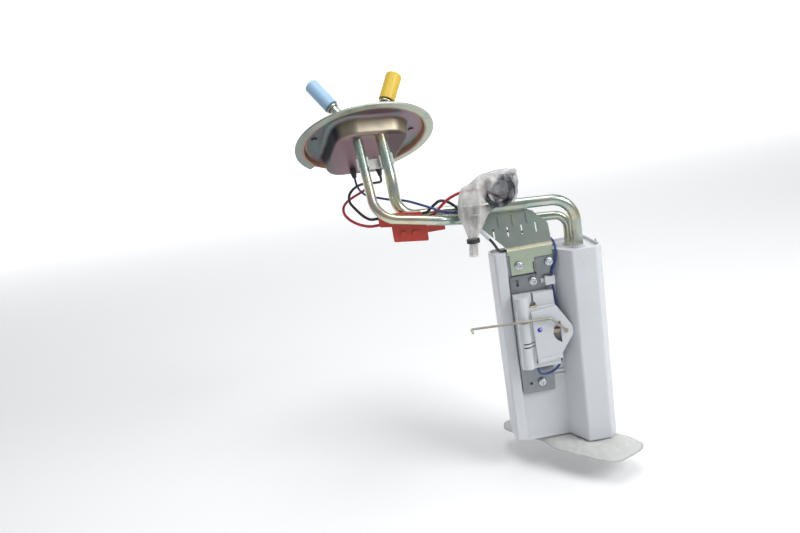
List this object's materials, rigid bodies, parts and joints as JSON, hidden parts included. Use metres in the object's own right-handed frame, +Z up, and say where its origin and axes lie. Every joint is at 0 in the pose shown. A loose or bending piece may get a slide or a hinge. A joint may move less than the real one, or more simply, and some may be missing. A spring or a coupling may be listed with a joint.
{
  "type": "fuel pump module",
  "caption": "In-tank fuel pump hanger: round flange, two bent lines, sheet bracket, white reservoir with pump and level sender, strainer pouch, leads and small parts bag.",
  "frame": {"origin": "centre of the flange's underside, where it seats on the tank", "axes": "+Z up along the reservoir, +X from the flange towards the reservoir, -Y the level sender's side"},
  "size_m": [0.2604, 0.1647, 0.3588],
  "materials": {
    "chromated_steel": "satin",
    "tube_zinc": "polished",
    "dark_steel": "satin",
    "bright_screw": "polished",
    "arm_wire": "satin",
    "brass_contact": "satin",
    "pump_steel": "satin",
    "motor_core": "satin",
    "ferrite": "matte",
    "carbon": "matte",
    "card_ceramic": "matte",
    "white_plastic": "satin",
    "black_plastic": "satin",
    "red_plastic": "gloss",
    "tan_plastic": "satin",
    "blue_cap": "satin",
    "yellow_cap": "satin",
    "black_rubber": "matte",
    "black_wire": "satin",
    "red_wire": "satin",
    "blue_wire": "satin",
    "clear_film": "gloss",
    "felt": "matte"
  },
  "bodies": {
    "module": {"accessory_bag": "clear_film", "bag_tie": "black_rubber", "bracket_screws": "bright_screw", "bulkhead_connector": "black_plastic", "connector_plug": "red_plastic", "connector_socket": "red_plastic", "coupling_hose": "black_rubber", "flange_lead_black": "black_wire", "flange_lead_red": "red_wire", "flange_plate": "chromated_steel", "ground_lead": "black_wire", "hanger_bracket": "chromated_steel", "hose_clamps": "bright_screw", "isolator_rings": "black_rubber", "lead_boots": "black_rubber", "lead_clip": "white_plastic", "lead_sleeve": "white_plastic", "pump_brushes": "carbon", "pump_case": "pump_steel", "pump_inlet_cover": "black_plastic", "pump_lead_red": "red_wire", "pump_magnets": "ferrite", "pump_outlet_cover": "black_plastic", "reservoir_base": "white_plastic", "reservoir_cap": "white_plastic", "reservoir_shell": "white_plastic", "resistor_card": "card_ceramic", "return_tube": "tube_zinc", "seal_ring": "black_rubber", "sender_cover": "white_plastic", "sender_housing": "white_plastic", "sender_lead": "blue_wire", "sender_plate": "dark_steel", "sender_screws": "bright_screw", "sender_terminal": "brass_contact", "strainer_neck": "white_plastic", "strainer_sock": "felt", "supply_tube": "tube_zinc", "terminal_pins": "brass_contact", "tube_brace": "chromated_steel"},
    "float_arm": {"float_arm": "arm_wire", "wiper_rotor": "tan_plastic", "wiper_contact": "brass_contact"},
    "supply_cap": {"supply_cap": "yellow_cap"},
    "return_cap": {"return_cap": "blue_cap"},
    "pump_rotor": {"pump_armature": "motor_core", "pump_impeller": "black_plastic"},
    "check_ball": {"check_ball": "bright_screw"}
  },
  "joints": [
    {"name": "float_arm_swing", "type": "hinge", "parent": "module", "child": "float_arm", "pos_m": [0.1424, -0.073, -0.182], "axis": [0, 1, 0], "range_deg": [-55, 30]},
    {"name": "supply_cap_pull", "type": "slide", "parent": "module", "child": "supply_cap", "axis": [0.4115, 0.4237, 0.807], "range_m": [0, 0.03]},
    {"name": "return_cap_pull", "type": "slide", "parent": "module", "child": "return_cap", "axis": [-0.5255, 0.3955, 0.7533], "range_m": [0, 0.03]},
    {"name": "pump_rotor_spin", "type": "hinge", "parent": "module", "child": "pump_rotor", "pos_m": [0.1625, -0.06, -0.218], "axis": [0, 0, 1], "continuous": true},
    {"name": "check_ball_lift", "type": "slide", "parent": "module", "child": "check_ball", "axis": [0, 0, 1], "range_m": [0, 0.002]}
  ]
}
